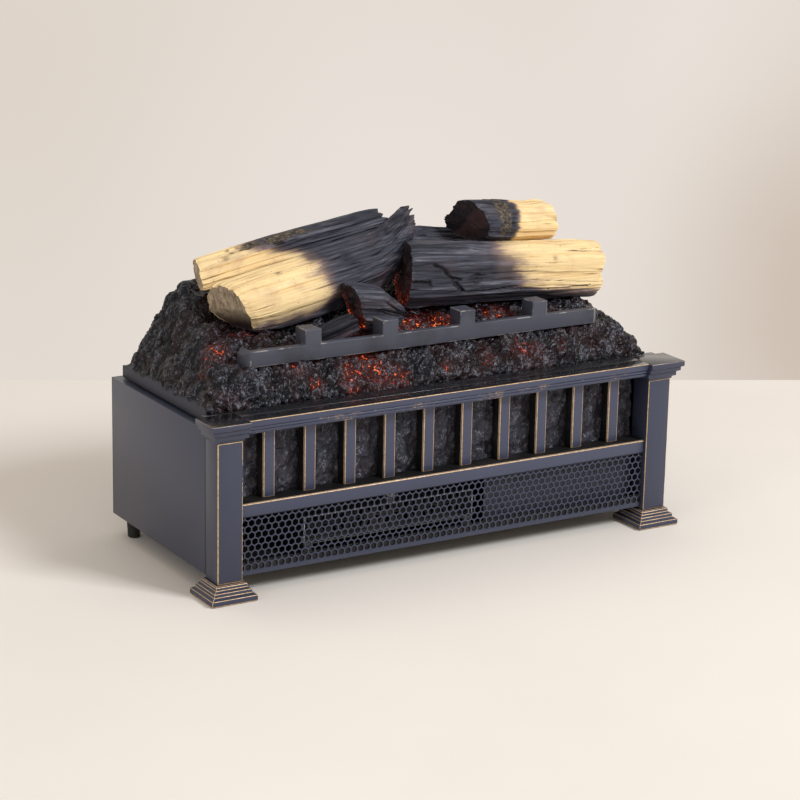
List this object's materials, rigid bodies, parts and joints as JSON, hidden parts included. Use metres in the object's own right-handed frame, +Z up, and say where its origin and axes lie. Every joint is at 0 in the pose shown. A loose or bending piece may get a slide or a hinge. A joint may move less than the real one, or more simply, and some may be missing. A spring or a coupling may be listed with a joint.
{
  "type": "electric log heater",
  "caption": "Fire-basket electric heater: moulded logs and glowing coals on a slatted steel case with a fan heater behind a hexagon grille.",
  "frame": {"origin": "on the floor, in the middle of the outer box", "axes": "+X to the right of someone who faces the front, the front at -Y, +Z up"},
  "size_m": [0.5224, 0.2442, 0.3225],
  "materials": {
    "painted_steel": "satin gunmetal paint with worn edges",
    "black_shelf": "gloss black paint",
    "inner_steel": "plain zinc-plated sheet",
    "bright_steel": "bright sheet",
    "grate_paint": "moulded, painted as dark iron",
    "coals": "translucent moulding painted as coals, lit from below",
    "glowing_coals": "translucent moulding painted as coals, lit from behind",
    "log_bark": "moulded, painted as split and part-burnt wood",
    "log_char": "moulded, painted as charred wood",
    "rubber": "matte",
    "black_plastic": "fine texture",
    "white_plastic": "plain",
    "circuit_board": "solder mask",
    "ceramic": "unglazed",
    "aluminium": "bright"
  },
  "bodies": {
    "casing": {"base_pan": "inner_steel", "left_side_panel": "painted_steel", "right_side_panel": "painted_steel", "rear_panel": "painted_steel", "left_post": "painted_steel", "right_post": "painted_steel", "left_plinth": "painted_steel", "right_plinth": "painted_steel", "left_capital": "painted_steel", "right_capital": "painted_steel", "top_rail": "painted_steel", "top_shelf": "black_shelf", "mid_rail": "painted_steel", "outlet_grille": "painted_steel", "front_ember_panel": "glowing_coals", "rear_foot_left": "rubber", "rear_foot_right": "rubber", "ember_bed": "coals", "grate": "grate_paint", "log_rear_left": "log_bark", "log_front_left": "log_bark", "log_front_right": "log_bark", "log_stub": "log_bark", "log_rear_charred": "log_char", "log_centre_chunk": "log_char", "log_wedge": "log_char", "light_divider": "bright_steel", "led_board": "white_plastic", "flicker_motor": "inner_steel", "spindle_bearing": "inner_steel", "heater_frame": "bright_steel", "baffle_plate": "inner_steel", "heater_core": "aluminium", "scroll_housing": "inner_steel", "blower_motor": "inner_steel", "rotor_bearing": "white_plastic", "thermal_cutout": "ceramic", "control_board": "circuit_board", "terminal_block": "white_plastic", "cord_gland": "black_plastic", "control_plate": "black_plastic", "slat_01": "painted_steel", "slat_02": "painted_steel", "slat_03": "painted_steel", "slat_04": "painted_steel", "slat_05": "painted_steel", "slat_06": "painted_steel", "slat_07": "painted_steel", "slat_08": "painted_steel", "slat_09": "painted_steel", "slat_10": "painted_steel", "rear_screw_1": "bright_steel", "rear_screw_2": "bright_steel", "rear_screw_3": "bright_steel", "rear_screw_4": "bright_steel"},
    "blower": {"blower_rotor": "aluminium"},
    "spindle": {"flicker_spindle": "aluminium"},
    "power_switch": {"power_rocker": "black_plastic"},
    "low_heat_switch": {"low_heat_rocker": "black_plastic"},
    "high_heat_switch": {"high_heat_rocker": "black_plastic"}
  },
  "joints": [
    {"name": "blower_spin", "type": "hinge", "parent": "casing", "child": "blower", "pos_m": [0, 0.0184, 0.053], "axis": [1, 0, 0], "continuous": true},
    {"name": "spindle_spin", "type": "hinge", "parent": "casing", "child": "spindle", "pos_m": [0, -0.0116, 0.118], "axis": [1, 0, 0], "continuous": true},
    {"name": "power_switch_rock", "type": "hinge", "parent": "casing", "child": "power_switch", "pos_m": [0.1605, 0.1153, 0.12175], "axis": [1, 0, 0], "range_deg": [0, 18]},
    {"name": "low_heat_switch_rock", "type": "hinge", "parent": "casing", "child": "low_heat_switch", "pos_m": [0.183, 0.1153, 0.12175], "axis": [1, 0, 0], "range_deg": [0, 18]},
    {"name": "high_heat_switch_rock", "type": "hinge", "parent": "casing", "child": "high_heat_switch", "pos_m": [0.2055, 0.1153, 0.12175], "axis": [1, 0, 0], "range_deg": [0, 18]}
  ]
}
